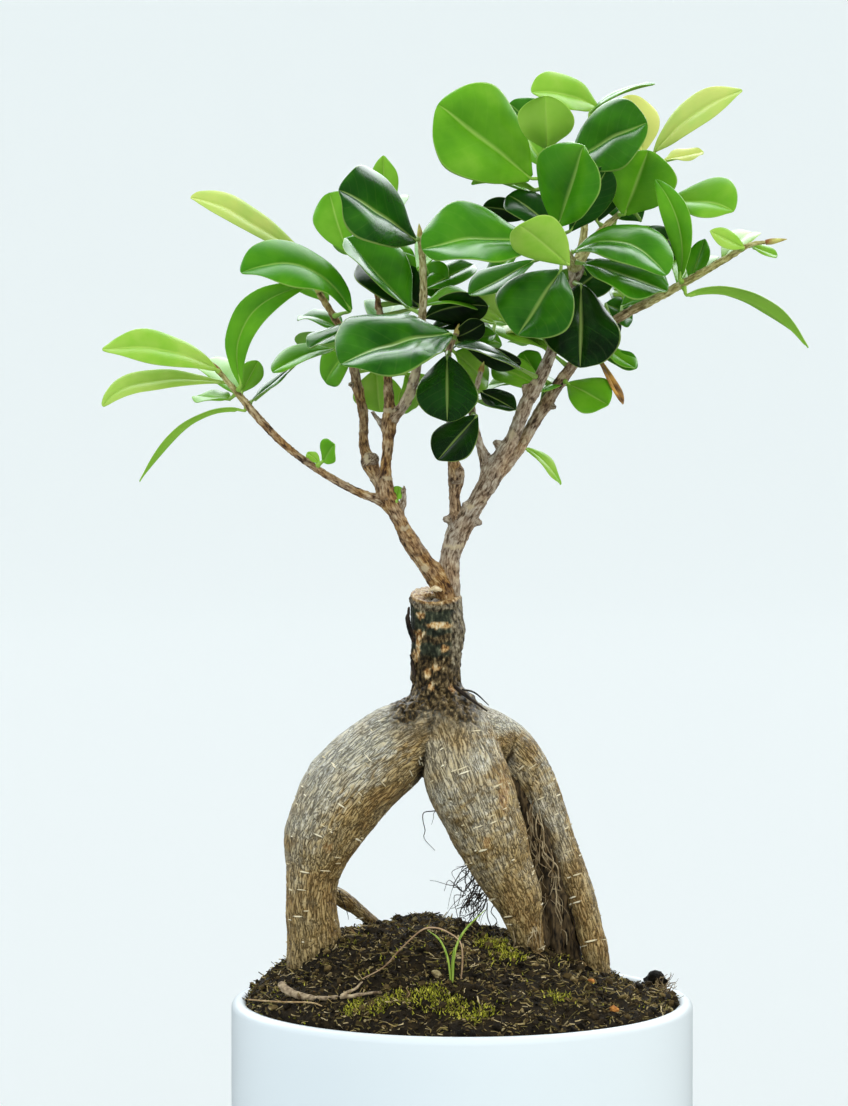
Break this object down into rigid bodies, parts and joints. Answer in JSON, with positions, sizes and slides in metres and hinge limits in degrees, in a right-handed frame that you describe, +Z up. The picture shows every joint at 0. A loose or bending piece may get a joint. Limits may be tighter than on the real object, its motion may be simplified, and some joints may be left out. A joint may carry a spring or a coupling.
{
  "type": "ficus bonsai",
  "caption": "Ginseng-form ficus bonsai with swollen standing roots, a cut stem with a grafted leafy shoot, in soil in a plain white cylindrical pot.",
  "frame": {"origin": "centre of the pot's flat base, on the pot's axis", "axes": "+Z up along the pot's axis; +X to the right seen from the front of the plant; -Y towards the front"},
  "size_m": [0.2263, 0.15, 0.4308],
  "materials": {
    "white_glaze": "satin white glaze",
    "peat": "crumbly dark peat",
    "root_bark": "grey-tan bark with fine fissures",
    "shoot_bark": "thin grey-brown bark",
    "leaf": "glossy waxy leaf",
    "dry_leaf": "matt dry leaf",
    "grass": "satin grass blade",
    "straw": "dry straw"
  },
  "bodies": {
    "root": {"dead_twig": "straw", "grass_seedling": "grass", "leaf_bud_leaf": "leaf", "leaf_centre_blue": "leaf", "leaf_centre_left": "leaf", "leaf_crown_back": "leaf", "leaf_crown_cup": "leaf", "leaf_crown_gloss": "leaf", "leaf_crown_tip": "leaf", "leaf_dry_leaf": "dry_leaf", "leaf_front_big": "leaf", "leaf_front_dark": "leaf", "leaf_front_hang": "leaf", "leaf_front_long": "leaf", "leaf_front_turned": "leaf", "leaf_heart_lower": "leaf", "leaf_heart_upper": "leaf", "leaf_left_arched": "leaf", "leaf_left_bright": "leaf", "leaf_left_edge": "leaf", "leaf_left_grey": "leaf", "leaf_left_long": "leaf", "leaf_left_low": "leaf", "leaf_left_shade": "leaf", "leaf_left_small": "leaf", "leaf_left_strap": "leaf", "leaf_left_wide": "leaf", "leaf_limb_bright": "leaf", "leaf_limb_curled": "leaf", "leaf_mid_dark": "leaf", "leaf_mid_grey": "leaf", "leaf_mid_left": "leaf", "leaf_mid_pale": "leaf", "leaf_rear_crown": "leaf", "leaf_rear_low": "leaf", "leaf_right_folded": "leaf", "leaf_right_gloss": "leaf", "leaf_right_sheen": "leaf", "leaf_right_small": "leaf", "leaf_right_strap": "leaf", "leaf_right_tall": "leaf", "leaf_right_under": "leaf", "leaf_right_wide": "leaf", "leaf_right_yellow": "leaf", "leaf_side_dark": "leaf", "leaf_top_back": "leaf", "leaf_top_big": "leaf", "leaf_top_edge": "leaf", "leaf_top_long": "leaf", "leaf_top_narrow": "leaf", "leaf_top_pale": "leaf", "leaf_top_shade": "leaf", "leaf_top_upright": "leaf", "leaf_top_wide": "leaf", "leaf_top_yellow": "leaf", "leaf_twig_leaf": "leaf", "pot": "white_glaze", "rootstock": "root_bark", "scion": "shoot_bark", "soil": "peat"}
  },
  "joints": []
}
